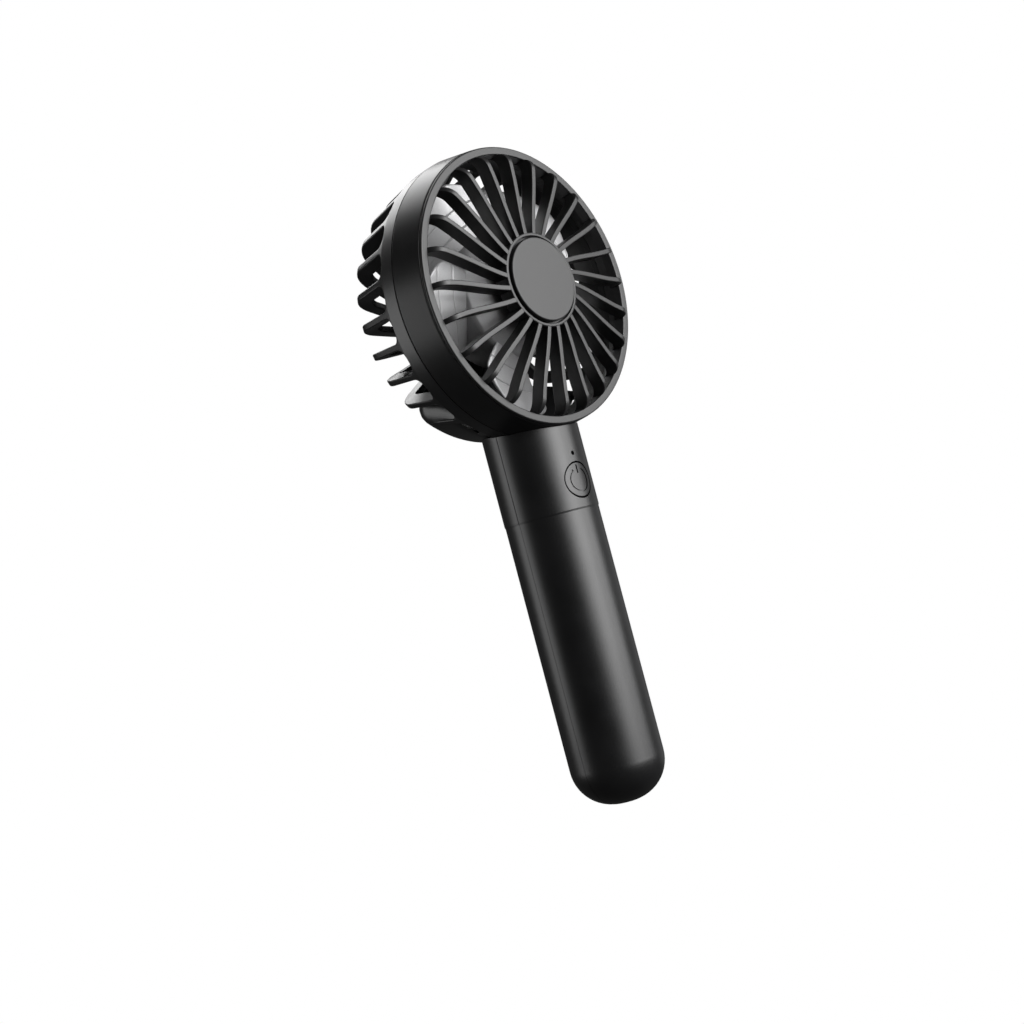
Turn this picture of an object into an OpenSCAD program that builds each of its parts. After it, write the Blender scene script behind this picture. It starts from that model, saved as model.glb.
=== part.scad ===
// Handheld electric fan: a round caged head on a round handle.
// The origin is on the handle's axis at the middle of the grip, +Z up, and the fan blows along -Y.
// The head is drawn in its own frame: origin at the centre of the front ring's face, +Y to the back.

/* [Head] */
// Outer radius of the front ring's face
ring_r = 45; // [44.5:0.1:45]
// Radius of the head where the front band meets the rear grille
seam_r = 46.5; // [46.3:0.1:47]
// Depth of the head from the ring's face to the seam
seam_y = 12; // [12:0.1:12.5]
// Depth of the head from the ring's face to the rear of its ribs
head_depth = 37; // [36.5:0.1:38]
// Height of the head's centre above the middle of the grip
head_z = 112; // [111:0.5:114]

/* [Front grille] */
// Number of front spokes
spoke_count = 24; // [18:1:26]
// Width of one spoke
spoke_w = 1.7; // [1.4:0.1:2]
// Depth of one spoke
spoke_depth = 5; // [4:0.1:5]
// Radius of the round badge in the middle
badge_r = 13.55; // [13:0.05:13.6]

/* [Rear grille] */
// Number of rear ribs
rib_count = 28; // [22:1:30]
// Width of one rear rib
rib_w = 2.1; // [1.8:0.1:2.4]
// Thickness of the rear grille's wall
rear_wall = 2.4; // [2.2:0.1:2.6]

/* [Impeller] */
// Number of blades
blade_count = 5; // [3:1:6]
// Radius of the impeller over its blade tips
blade_r = 39.5; // [36:0.5:40]
// Angle that one blade covers at its tip
blade_span = 70; // [50:1:70]
// Thickness of one blade
blade_t = 1.1; // [0.9:0.1:1.4]

/* [Motor] */
// Radius of the motor shaft
shaft_r = 1; // [0.9:0.05:1.1]
// Radial clearance of the shaft in its bearings
shaft_clearance = 0.03; // [0.02:0.01:0.08]
// Number of stator teeth
tooth_count = 9; // [6:1:9]

/* [Handle] */
// Outer radius of the handle at its neck
handle_r = 15.55; // [15.5:0.05:15.9]
// Outer radius of the grip, which is drawn in very slightly below the button
grip_r = 15.35; // [15.25:0.05:15.4]
// Wall thickness of the handle's two shells
handle_wall = 2; // [1.8:0.1:2.1]
// Distance from the head's centre down to the handle's bottom
handle_drop = 165; // [165:0.5:170]
// Radius of the handle's rounded bottom edge
bottom_round = 13; // [12:0.5:13]

/* [Power button] */
// Radius of the power button
button_r = 5.6; // [5.4:0.1:6.2]
// Gap around the power button
button_gap = 0.15; // [0.1:0.05:0.25]

/* [Battery] */
// Radius of the battery cell
cell_r = 9.1; // [9:0.05:9.3]
// Length of the battery cell
cell_h = 65; // [64:0.5:65]

/* [Hidden] */
$fn = 96;
eps = 0.02;
fit_gap = 0.05;

// colours
shell_black = [0.16, 0.16, 0.17];
face_grey = [0.42, 0.42, 0.43];
blade_silver = [0.62, 0.62, 0.64];
steel = [0.7, 0.7, 0.72];
copper = [0.72, 0.4, 0.2];
board_green = [0.1, 0.3, 0.2];
lead_red = [0.7, 0.12, 0.1];
chip_black = [0.1, 0.1, 0.1];

// head: everything in the head's own frame
ring_w = 2.67;
ring_rim_y = 0.75;
skirt_r = ring_r - 0.7;
skirt_y = 7;
basket_y = -4.9;
basket_bend_r = 38;
basket_bend_y = -3.55;
hub_r = 15.3;
hub_floor_y = -2.6;
badge_front_y = -5.75;
badge_back_y = -4.17;

function spoke_angle(r) = 15.63 - 0.418 * (r - 26) + 0.015 * pow(r - 26, 2);

band_front_y = 1.15;
band_shoulder_r = 43.2;
spigot_r = 44.9;
spigot_y = 9.5;

rear_round = 8.5;
rib_depth = 4.8;
rear_bend_r = 43.4;
rear_bend_y = head_depth + 1.5 - rear_round;
rim_y = 17.7;
rim_r = 46.05;
cup_r = 15.2;
cup_in_r = 13.4;
cup_floor_y = 22.2;
cup_back_y = head_depth + 1.3;
bridge_half = 28;
bridge_hub_half = 14;
bridge_y = 20.2;
rib_turn_r = 42.5;

function rib_angle(r) = 1.5 + 0.1 * max(0, rib_turn_r - r) + 0.012 * pow(max(0, rib_turn_r - r), 2);

// impeller and motor, along the head's own axis
hub_nose_r = 13;
hub_out_r = 21;
hub_rim_y = 9;
hub_wall = 1.4;
hub_front_y = 3.6;
hub_back_y = 23.3;
hub_skirt_y = 15;
blade_root_r = 20.2;
blade_front_y = 8;
blade_drop = 14;
bell_r = 13.4;
bell_front_y = 6.6;
bell_back_y = 17.6;
magnet_r = 12.15;
stator_r = 10.4;
stator_y0 = 9;
stator_y1 = 15;
bearing_r = 2.5;
bearing_w = 2.3;
tube_r = 3.2;
base_y = 20.6;
base_t = 1.5;
base_r = 12.9;
mount_screw_r = 1;
mount_screw_circle = 9;
shaft_back_y = 24;

// handle, in the part's own frame
handle_in_r = handle_r - handle_wall;
grip_top = head_z - 72;
grip_step = 0.4;
handle_back = 17;
handle_bottom = head_z - handle_drop;
seam_gap = 0.05;
button_z = head_z - 62.9;
led_z = head_z - 54.3;
led_pipe_r = 0.65;
bracket_z0 = head_z - 50.5;
bracket_r = handle_in_r - 0.1;
collar_r = handle_in_r + 0.85;
collar_h = 1.6;
neck_screw_x = 7;
neck_screw_y = 15.5;
neck_screw_seat_z = -42.85;
lead_hole_y = 27;

pcb_front_y = -5.5;
pcb_t = 1.2;
pcb_half_w = 9.5;
pcb_z0 = head_z - 82.5;
pcb_z1 = head_z - 51.3;
pcb_screw_x = 7;
pcb_screw_z = head_z - 76.5;
switch_h = 3.5;
plunger_top_y = pcb_front_y - switch_h - 0.9;
flange_r = button_r + 0.9;
shell_screw_x = 7.5;
shell_screw_z = head_z - 86.2;
cell_z1 = head_z - 90;
cell_z0 = cell_z1 - cell_h;
usb_half_w = 4.47;
usb_half_t = 1.6;
usb_h = 7.3;
usb_z0 = handle_bottom + 0.35;
charge_pcb_z0 = handle_bottom + 3;
lead_r = 0.6;
side_lead_x = 12;

// ---- helpers ----

// children drawn in the head's own frame
module head() translate([0, -handle_back, head_z]) children();

// a solid turned about the head's axis, from a profile of [radius, depth] points
module turned(profile) rotate([-90, 0, 0]) rotate_extrude() polygon(profile);

// a flat shape in the head's face plane, extruded from depth y0 to depth y1
module plate(y0, y1) translate([0, y1, 0]) rotate([90, 0, 0]) linear_extrude(y1 - y0) children();

// a straight round bar along the depth
module bar_y(r, y0, y1) translate([0, y0, 0]) rotate([-90, 0, 0]) cylinder(r = r, h = y1 - y0, $fn = 48);

// points on an arc in a profile
function arc(cx, cy, r, a0, a1, n = 6) =
    [for (i = [0:n]) let (a = a0 + (a1 - a0) * i / n) [cx + r * cos(a), cy + r * sin(a)]];

// one straight length of eight-sided wire, run on a little at both ends so that lengths join
module wire_length(a, b, r)
{
    v = b - a;
    run_on = 0.45 * r;
    translate(a)
        rotate([0, acos(v[2] / norm(v)), atan2(v[1], v[0])])
            translate([0, 0, -run_on]) cylinder(r = r, h = norm(v) + 2 * run_on, $fn = 8);
}

// a wire along a list of points
module wire(points, r = lead_r)
{
    for (i = [0:len(points) - 2]) wire_length(points[i], points[i + 1], r);
}

// a pan-head screw with its head's underside at the origin, its shank along +Z
module screw(head_r, head_h, shank_r, length)
{
    difference()
    {
        translate([0, 0, -head_h]) cylinder(r = head_r, h = head_h, $fn = 48);
        cross(head_r, head_h);
    }
    cylinder(r = shank_r, h = length, $fn = 48);
}

// the cross recess of a screw's head
module cross(head_r, head_h)
{
    for (a = [0, 90])
        rotate([0, 0, a])
            translate([-head_r * 0.55, -head_r * 0.13, -head_h - eps])
                cube([head_r * 1.1, head_r * 0.26, head_h * 0.6]);
}

// a curved bar in the face plane whose centre line turns with radius
module swept_bar(angle, w, r0, r1, offset, n, law)
{
    function centre(r) = offset + (law == "rib" ? rib_angle(r) : spoke_angle(r));
    function lean(r) = (centre(r + 0.5) - centre(r - 0.5)) * PI / 180 * r;
    function half(r) = asin(w / 2 * sqrt(1 + pow(lean(r), 2)) / r);
    radii = [for (i = [0:n]) r0 + (r1 - r0) * i / n];
    one = [for (r = radii) r * [cos(centre(r) + half(r)), sin(centre(r) + half(r))]];
    two = [for (i = [n:-1:0]) let (r = radii[i])
        r * [cos(centre(r) - half(r)), sin(centre(r) - half(r))]];
    rotate(angle) polygon(concat(one, two));
}

// the head's outside, grown by a gap: the handle's top is cut to this
module head_envelope(gap)
{
    turned(concat([[0, band_front_y - gap], [45.1 + gap, band_front_y - gap],
        [seam_r + gap, seam_y], [rim_r + gap, rim_y]],
        arc(rear_bend_r - rear_round, rear_bend_y, rear_round + gap, 0, 90),
        [[0, head_depth + 1.5 + gap]]));
}

// ---- head: cage ----

module front_grille()
{
    ring = [[ring_r - ring_w, 0.35], [ring_r - ring_w + 0.35, 0], [ring_r - 0.45, 0],
        [ring_r, 0.45], [ring_r, ring_rim_y], [skirt_r, ring_rim_y], [skirt_r, skirt_y],
        [skirt_r - 1.3, skirt_y], [ring_r - ring_w, 3.5]];
    basket = concat([[hub_r - 1, basket_y + 0.05]],
        arc(basket_bend_r, basket_bend_y + 4.7, 4.7, -90, 0),
        arc(basket_bend_r, spoke_depth + basket_bend_y + 4.7, 4.7, 0, -90),
        [[hub_r - 1, basket_y + spoke_depth]]);
    hub = [[0, badge_back_y + eps], [badge_r + 0.25, badge_back_y + eps],
        [badge_r + 0.25, basket_y], [hub_r - 0.3, basket_y], [hub_r, basket_y + 0.3],
        [hub_r, 0.3], [hub_r - 1.7, 0.3], [hub_r - 1.7, hub_floor_y], [0, hub_floor_y]];
    color(face_grey) head() union()
    {
        turned(ring);
        turned(hub);
        intersection()
        {
            turned(basket);
            plate(-7, skirt_y)
                for (i = [0:spoke_count - 1])
                    swept_bar(360 / spoke_count * i, spoke_w, hub_r - 1.2, ring_r - 1.5, 0, 6, "spoke");
        }
    }
}

module hub_badge()
{
    color(face_grey) head()
        turned([[0, badge_front_y], [badge_r - 0.45, badge_front_y], [badge_r, badge_front_y + 0.45],
            [badge_r, badge_back_y], [0, badge_back_y]]);
}

module front_band()
{
    color(shell_black) head()
        turned([[skirt_r + 0.1, band_front_y], [ring_r - 0.2, band_front_y], [45.1, band_front_y + 0.3],
            [seam_r, seam_y - 0.1], [spigot_r + 0.1, seam_y - 0.1], [spigot_r + 0.1, spigot_y - 0.1],
            [band_shoulder_r, spigot_y - 0.1], [band_shoulder_r, skirt_y + 0.2],
            [skirt_r + 0.1, skirt_y + 0.2]]);
}

module rear_grille()
{
    inner_round = rear_round - rib_depth;
    rim = [[seam_r, seam_y + eps], [rim_r, rim_y], [rim_r - rear_wall, rim_y],
        [seam_r - 2.8, seam_y + eps], [seam_r - 2.8, spigot_y], [spigot_r, spigot_y],
        [spigot_r, seam_y + eps]];
    shell = concat([[seam_r - 0.3, rim_y - 2]],
        arc(rear_bend_r - rear_round, rear_bend_y, rear_round, 0, 90),
        [[cup_r - 1, cup_back_y], [cup_r - 1, cup_back_y - rib_depth]],
        arc(rear_bend_r - rear_round, rear_bend_y, inner_round, 90, 0),
        [[seam_r - 0.3 - rear_wall, rim_y - 2]]);
    cup = [[3, cup_floor_y], [cup_r, cup_floor_y], [cup_r, cup_back_y], [cup_in_r, cup_back_y],
        [cup_in_r, cup_floor_y + 2], [3, cup_floor_y + 2]];
    color(shell_black) head() difference()
    {
        union()
        {
            turned(rim);
            turned(cup);
            intersection()
            {
                turned(shell);
                union()
                {
                    plate(rim_y - 2, cup_back_y + 1)
                        for (i = [0:rib_count - 1])
                            swept_bar(360 / rib_count * i, rib_w, cup_r - 0.8, seam_r + 1, 0, 8, "rib");
                    plate(bridge_y, cup_back_y + 1)
                        polygon([[-bridge_half, -seam_r - 2], [bridge_half, -seam_r - 2],
                            [bridge_half, -32], [bridge_hub_half, -5],
                            [-bridge_hub_half, -5], [-bridge_half, -32]]);
                }
            }
        }
        for (i = [0:2]) rotate([0, -90 + 120 * i, 0])
            translate([mount_screw_circle, 0, 0])
                bar_y(mount_screw_r + 0.1, cup_floor_y - 1, cup_floor_y + 3);
        translate([0, 0, -10.5]) bar_y(1.8, cup_floor_y - 1, cup_floor_y + 3);
        translate([0, 28.5, -cup_r - 1]) cylinder(r = 1.8, h = 4, $fn = 48);
        translate([0, lead_hole_y, -seam_r]) cylinder(r = 1.9, h = 8, $fn = 48);
        for (x = [-neck_screw_x, neck_screw_x]) translate([x, neck_screw_y, 0])
        {
            translate([0, 0, -seam_r - 1]) cylinder(r = 1.1, h = 6, $fn = 48);
            translate([0, 0, neck_screw_seat_z - 0.02]) cylinder(r = 2.1, h = 3.5, $fn = 48);
        }
    }
}

module rear_cap()
{
    color(shell_black) head()
        turned([[0, cup_back_y - 1.6], [cup_in_r - 0.05, cup_back_y - 1.6],
            [cup_in_r - 0.05, cup_back_y - 0.2], [cup_in_r - 0.5, cup_back_y + 0.3],
            [0, cup_back_y + 0.6]]);
}

// ---- head: impeller and motor ----

// angle and depth of a point on a blade: s runs from hub to tip, v from front edge to rear edge
function blade_angle(s, v) = 157 + 6 * s * s + (blade_span - 6 * s) * (v - 0.03 * sin(180 * s));
function blade_depth(s, v) = blade_front_y + 0.5 * s
    + (blade_drop + 2 * s) * (0.15 * v + 0.85 * pow(v, 3));
function blade_sweep(s) = 0.34 * pow(max(0, (s - 0.45) / 0.55), 1.4);
function blade_point(s, v, back) =
    let (w = blade_sweep(s) + (1 - blade_sweep(s)) * v, r = blade_root_r + (blade_r - blade_root_r) * s,
        a = blade_angle(s, w))
    [r * cos(a), blade_depth(s, w) + back, r * sin(a)];

module blade()
{
    ns = 6;
    nv = 8;
    m = nv + 1;
    half = (ns + 1) * m;
    points = [for (k = [0, 1]) for (i = [0:ns]) for (j = [0:nv])
        blade_point(i / ns, j / nv, k * blade_t)];
    front = [for (i = [0:ns - 1]) for (j = [0:nv - 1]) let (a = i * m + j)
        each [[a, a + m + 1, a + m], [a, a + 1, a + m + 1]]];
    back = [for (f = front) [f[2] + half, f[1] + half, f[0] + half]];
    edge = concat([for (j = [0:nv]) j], [for (i = [1:ns]) i * m + nv],
        [for (j = [nv - 1:-1:0]) ns * m + j], [for (i = [ns - 1:-1:1]) i * m]);
    ne = len(edge);
    sides = [for (k = [0:ne - 1]) let (a = edge[k], b = edge[(k + 1) % ne])
        each [[a, b + half, b], [a, a + half, b + half]]];
    polyhedron(points = points, faces = concat(front, back, sides));
}

module impeller()
{
    color(blade_silver) head() union()
    {
        turned([[0, hub_front_y], [hub_nose_r - 2, hub_front_y], [hub_nose_r, hub_front_y + 0.5],
            [hub_out_r - 0.6, hub_rim_y], [hub_out_r, hub_rim_y + 1], [hub_out_r, hub_back_y],
            [hub_out_r - hub_wall, hub_back_y], [hub_out_r - hub_wall, hub_rim_y + 1.6],
            [bell_r + 1.4, bell_front_y + 1], [bell_r + 1.4, hub_skirt_y],
            [bell_r + 0.05, hub_skirt_y],
            [bell_r + 0.05, bell_front_y - 0.3], [shaft_r + 0.005, bell_front_y - 0.3],
            [shaft_r + 0.005, hub_front_y + 1.3], [0, hub_front_y + 1.3]]);
        for (i = [0:blade_count - 1]) rotate([0, -360 / blade_count * i, 0]) blade();
    }
}

module rotor_bell()
{
    color(steel) head()
        turned([[shaft_r + 0.005, bell_front_y], [bell_r, bell_front_y], [bell_r, bell_back_y],
            [magnet_r + 0.05, bell_back_y], [magnet_r + 0.05, bell_front_y + 1],
            [2.6, bell_front_y + 1], [2.2, bell_front_y + 1.8], [shaft_r + 0.005, bell_front_y + 1.8]]);
}

module magnet_ring()
{
    color(chip_black) head()
        turned([[magnet_r - 0.95, bell_front_y + 1.5], [magnet_r, bell_front_y + 1.5],
            [magnet_r, bell_back_y - 0.4], [magnet_r - 0.95, bell_back_y - 0.4]]);
}

module motor_shaft()
{
    color(steel) head()
        turned([[0, hub_front_y + 1.4], [shaft_r - 0.2, hub_front_y + 1.4], [shaft_r, hub_front_y + 1.6],
            [shaft_r, shaft_back_y - 0.2], [shaft_r - 0.2, shaft_back_y], [0, shaft_back_y]]);
}

module retaining_ring()
{
    color(steel) head()
        turned([[shaft_r + 0.005, cup_floor_y + 0.5], [2.2, cup_floor_y + 0.5], [2.2, cup_floor_y + 1],
            [shaft_r + 0.005, cup_floor_y + 1]]);
}

module motor_base()
{
    color(steel) head() difference()
    {
        turned([[bearing_r + 0.02, stator_y0 - 0.2], [tube_r, stator_y0 - 0.2], [tube_r, base_y],
            [base_r, base_y], [base_r, base_y + base_t], [bearing_r + 0.02, base_y + base_t]]);
        for (i = [0:2]) rotate([0, -90 + 120 * i, 0])
            translate([mount_screw_circle, 0, 0])
                bar_y(mount_screw_r + 0.02, base_y - 1, base_y + base_t + 1);
        translate([0, 0, -10.5]) bar_y(1.8, base_y - 1, base_y + base_t + 1);
    }
}

// a plain ball bearing's outline, with its front face at depth y
module bearing(y)
{
    color(steel) head()
        turned([[shaft_r + shaft_clearance, y], [bearing_r, y], [bearing_r, y + bearing_w],
            [shaft_r + shaft_clearance, y + bearing_w]]);
}

module front_bearing() bearing(stator_y0);
module rear_bearing() bearing(base_y + base_t - bearing_w);

module stator_core()
{
    color(steel) head() plate(stator_y0, stator_y1) difference()
    {
        union()
        {
            circle(r = 5);
            for (i = [0:tooth_count - 1]) rotate(360 / tooth_count * i)
            {
                translate([4.5, -0.8]) square([5, 1.6]);
                intersection()
                {
                    difference()
                    {
                        circle(r = stator_r);
                        circle(r = stator_r - 1.2);
                    }
                    polygon([[0, 0], [14, -3.6], [14, 3.6]]);
                }
            }
        }
        circle(r = tube_r + 0.03);
    }
}

module stator_windings()
{
    color(copper) head()
        for (i = [0:tooth_count - 1]) rotate([0, 360 / tooth_count * i, 0]) difference()
        {
            translate([5.3, stator_y0 - 0.8, -1.6]) cube([3.6, stator_y1 - stator_y0 + 1.6, 3.2]);
            translate([5, stator_y0 - 0.04, -0.85]) cube([5, stator_y1 - stator_y0 + 0.08, 1.7]);
        }
}

module motor_pcb()
{
    color(board_green) head() difference()
    {
        union()
        {
            turned([[tube_r + 0.1, 18.6], [11.2, 18.6], [11.2, 19.5], [tube_r + 0.1, 19.5]]);
            translate([4.5, 17.6, 2]) cube([3, 1.1, 3]);
            translate([-7.5, 17.9, 3]) cube([2, 0.8, 1.4]);
            translate([-4.5, 17.9, -7]) cube([2, 0.8, 1.4]);
        }
        for (i = [0:2]) rotate([0, -90 + 120 * i, 0])
            translate([mount_screw_circle, 0, 0]) bar_y(mount_screw_r + 0.3, 18, 20);
    }
}

module motor_screws()
{
    color(steel) head()
        for (i = [0:2]) rotate([0, -90 + 120 * i, 0])
            translate([mount_screw_circle, cup_floor_y + 2.02, 0])
                rotate([90, 0, 0]) screw(1.9, 1.2, mount_screw_r, 3.4);
}

module motor_leads()
{
    color(lead_red) head()
        for (x = [-0.7, 0.7])
            wire([[x, 19.85, -10.5], [x, 28.5, -10.5], [x, 28.5, -17.5], [x, 31.5, -21],
                [x, 31, -35.5], [x, lead_hole_y, -39.2], [x, lead_hole_y, -52], [x * 1.6, 18, -58]]);
}

// ---- neck ----

module neck_bracket()
{
    color(shell_black) difference()
    {
        union()
        {
            translate([0, 0, bracket_z0]) cylinder(r = bracket_r, h = 12);
            translate([0, 0, bracket_z0]) cylinder(r = collar_r, h = collar_h);
        }
        head() head_envelope(fit_gap);
        translate([0, lead_hole_y - handle_back, bracket_z0 - 1]) cylinder(r = 2.4, h = 16, $fn = 48);
        for (x = [-neck_screw_x, neck_screw_x])
            translate([x, neck_screw_y - handle_back, bracket_z0 - 1]) cylinder(r = 1.02, h = 16, $fn = 48);
    }
}

module neck_screws()
{
    color(steel) for (x = [-neck_screw_x, neck_screw_x])
        translate([x, neck_screw_y - handle_back, head_z + neck_screw_seat_z])
            rotate([180, 0, 0]) screw(1.9, 1.2, 1, 6.6);
}

// ---- handle ----

// the handle's solid of revolution, running up into the head; it widens from r to neck_r above the grip
module handle_form(r, neck_r, round_r, bottom)
{
    rotate_extrude() polygon(concat([[0, bottom]], arc(r - round_r, bottom + round_r, round_r, -90, 0, 10),
        [[r, grip_top], [neck_r, grip_top + grip_step], [neck_r, head_z - 36], [0, head_z - 36]]));
}

// the whole handle's wall, before it is split in two
module handle_tube()
{
    difference()
    {
        handle_form(grip_r, handle_r, bottom_round, handle_bottom);
        handle_form(handle_in_r, handle_in_r, bottom_round - handle_wall, handle_bottom + handle_wall);
        head() head_envelope(0.15);
        translate([0, 0, bracket_z0 - 0.1]) cylinder(r = collar_r + 0.1, h = collar_h + 0.2);
        usb_form(usb_half_w + 0.15, usb_half_t + 0.15, handle_bottom - 1, handle_bottom + 3);
    }
}

module handle_front_shell()
{
    color(shell_black) difference()
    {
        union()
        {
            intersection()
            {
                handle_tube();
                translate([-30, -60 - seam_gap, handle_bottom - 5]) cube([60, 60, 140]);
            }
            intersection()
            {
                union()
                {
                    for (x = [-pcb_screw_x, pcb_screw_x])
                        translate([x, 0, pcb_screw_z]) bar_y(2.2, -14, pcb_front_y - eps);
                    for (x = [-shell_screw_x, shell_screw_x])
                        translate([x, 0, shell_screw_z]) bar_y(2.3, -14, -seam_gap);
                }
                cylinder_between(handle_in_r + 0.5, handle_bottom, head_z);
            }
        }
        translate([0, 0, button_z]) bar_y(button_r + button_gap, -20, -10);
        translate([0, 0, led_z]) bar_y(led_pipe_r + 0.05, -20, -10);
        for (x = [-pcb_screw_x, pcb_screw_x])
            translate([x, 0, pcb_screw_z]) bar_y(0.82, -11, pcb_front_y + 1);
        for (x = [-shell_screw_x, shell_screw_x])
            translate([x, 0, shell_screw_z]) bar_y(1.02, -9, 1);
    }
}

module handle_rear_shell()
{
    color(shell_black) difference()
    {
        union()
        {
            intersection()
            {
                handle_tube();
                translate([-30, seam_gap, handle_bottom - 5]) cube([60, 60, 140]);
            }
            intersection()
            {
                for (x = [-shell_screw_x, shell_screw_x])
                    translate([x, 0, shell_screw_z]) bar_y(2.9, seam_gap, 14);
                cylinder_between(handle_in_r + 0.5, handle_bottom, head_z);
            }
        }
        for (x = [-shell_screw_x, shell_screw_x]) translate([x, 0, shell_screw_z])
        {
            bar_y(1.1, -1, 20);
            bar_y(2.1, 8, 20);
        }
    }
}

module handle_screws()
{
    color(steel) for (x = [-shell_screw_x, shell_screw_x])
        translate([x, 8 + eps + 0.02, shell_screw_z])
            rotate([90, 0, 0]) screw(1.9, 1.2, 1, 15.5);
}

// the generic power mark: an open ring with a short stem at its gap, as a flat shape
module power_mark()
{
    difference()
    {
        circle(r = 3.7 + 0.32, $fn = 64);
        circle(r = 3.7 - 0.32, $fn = 64);
        polygon([[0, 0], [-3.2, 6], [3.2, 6]]);
    }
    translate([-0.32, 2.1]) square([0.64, 2.75]);
}

module power_button()
{
    color(shell_black) difference()
    {
        union()
        {
            intersection()
            {
                translate([0, 0, button_z]) bar_y(button_r, -16, -11.3);
                translate([0, 0, button_z - 10]) cylinder(r = handle_r - 0.05, h = 20);
            }
            translate([0, 0, button_z]) bar_y(flange_r, -11.3, -10.6);
            translate([0, 0, button_z]) bar_y(1.5, -10.6, plunger_top_y - eps);
        }
        intersection()
        {
            translate([0, 0, button_z]) plate(-17, -12) power_mark();
            difference()
            {
                translate([0, 0, button_z - 10]) cylinder(r = handle_r + 1, h = 20);
                translate([0, 0, button_z - 11]) cylinder(r = handle_r - 0.4, h = 22);
            }
        }
    }
}

module switch_plunger()
{
    color(lead_red) translate([0, 0, button_z]) bar_y(1.6, plunger_top_y, plunger_top_y + 1.9);
}

module tactile_switch()
{
    y0 = pcb_front_y - switch_h;
    color(chip_black) difference()
    {
        translate([-3, y0, button_z - 3]) cube([6, switch_h - eps, 6]);
        translate([0, 0, button_z]) bar_y(1.66, y0 - 1, y0 + 1.6);
    }
}

module main_pcb()
{
    color(board_green) difference()
    {
        translate([-pcb_half_w, pcb_front_y, pcb_z0]) cube([2 * pcb_half_w, pcb_t, pcb_z1 - pcb_z0]);
        for (x = [-pcb_screw_x, pcb_screw_x])
            translate([x, 0, pcb_screw_z]) bar_y(1.1, pcb_front_y - 1, pcb_front_y + pcb_t + 1);
    }
}

module pcb_screws()
{
    color(steel) for (x = [-pcb_screw_x, pcb_screw_x])
        translate([x, pcb_front_y + pcb_t + 0.02, pcb_screw_z])
            rotate([90, 0, 0]) screw(1.6, 1, 0.8, 5);
}

module control_chips()
{
    back_y = pcb_front_y + pcb_t + eps;
    color(chip_black)
    {
        translate([-7, back_y, head_z - 66]) cube([5, 1.5, 4]);
        translate([3.5, back_y, head_z - 65]) cube([3, 1.1, 3]);
        translate([-7.5, back_y, head_z - 72]) cube([3, 1.1, 3]);
        translate([4.5, pcb_front_y - 1.1 - eps, head_z - 73.6]) cube([3.2, 1.1, 2.2]);
    }
}

module power_inductor()
{
    color(chip_black) translate([2.8, 0, head_z - 71])
        bar_y(2.9, pcb_front_y + pcb_t + eps, pcb_front_y + pcb_t + 3.2);
}

module wire_connectors()
{
    back_y = pcb_front_y + pcb_t + eps;
    color("white")
    {
        translate([-3.5, back_y, head_z - 60.5]) cube([7, 4.5, 4]);
        translate([-3.5, back_y, head_z - 81.8]) cube([7, 4.5, 4]);
    }
}

module status_led()
{
    color("white") translate([-0.8, pcb_front_y - 0.7 - eps, led_z - 0.4]) cube([1.6, 0.7, 0.8]);
}

module light_pipe()
{
    color([0.8, 0.85, 0.9]) translate([0, 0, led_z]) union()
    {
        bar_y(led_pipe_r, -handle_r + 0.02, -13.2);
        bar_y(1.1, -13.2, pcb_front_y - 0.9);
    }
}

// ---- battery and charging ----

module battery_cell()
{
    color([0.15, 0.35, 0.6]) union()
    {
        translate([0, 0, cell_z0]) cylinder(r = cell_r, h = cell_h - 1);
        translate([0, 0, cell_z1 - 1]) cylinder(r = 2.8, h = 1);
    }
}

module battery_tabs()
{
    color(steel)
    {
        translate([-6, -2, cell_z1 + eps]) cube([9, 4, 0.2]);
        translate([-3, -2, cell_z0 - 0.2 - eps]) cube([9, 4, 0.2]);
    }
}

module battery_cradle()
{
    color([0.2, 0.2, 0.22])
        for (side = [-1, 1]) intersection()
        {
            difference()
            {
                cylinder_between(handle_in_r - 0.05, cell_z0 + 6, cell_z1 - 6);
                cylinder_between(cell_r + 0.05, cell_z0, cell_z1);
            }
            translate([-5, side > 0 ? 0 : -20, cell_z0]) cube([10, 20, cell_h]);
        }
}

module cylinder_between(r, z0, z1) translate([0, 0, z0]) cylinder(r = r, h = z1 - z0);

module battery_leads()
{
    plug_z = head_z - 80.5;
    color(lead_red)
    {
        wire([[-2.2, 1, plug_z], [-2.2, 1, cell_z1 + 1.1]]);
        wire([[2.2, 1, plug_z + 0.6], [side_lead_x, 1.4, plug_z - 0.6], [side_lead_x, 1.4, cell_z0 - 0.6],
            [4.2, 0, cell_z0 - 1.45]]);
    }
}

module charge_pcb()
{
    color(board_green) translate([-6.5, usb_half_t + eps, charge_pcb_z0]) cube([13, 1, 5.8]);
}

module charge_leads()
{
    color(chip_black) for (k = [0, 1])
    {
        y = 1.2 + 1.4 * k;
        wire([[-4, y + 2.1, charge_pcb_z0 + 3], [-8, y + 2.1, charge_pcb_z0 + 3.5],
            [-side_lead_x + 0.8, y, cell_z0 + 2], [-side_lead_x, y, cell_z0 + 6],
            [-side_lead_x, y, pcb_z0 - 3.5 + 1.6 * k],
            [-8.4, pcb_front_y + pcb_t + 0.7, pcb_z0 + 0.9 + 1.6 * k]]);
    }
}

module usb_c_receptacle()
{
    color(steel) union()
    {
        difference()
        {
            usb_form(usb_half_w, usb_half_t, usb_z0, usb_z0 + usb_h);
            usb_form(usb_half_w - 0.3, usb_half_t - 0.3, usb_z0 - 1, usb_z0 + usb_h - 0.8);
        }
        translate([-3.2, -0.35, usb_z0 + 0.7]) cube([6.4, 0.7, usb_h - 1]);
    }
}

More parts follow.
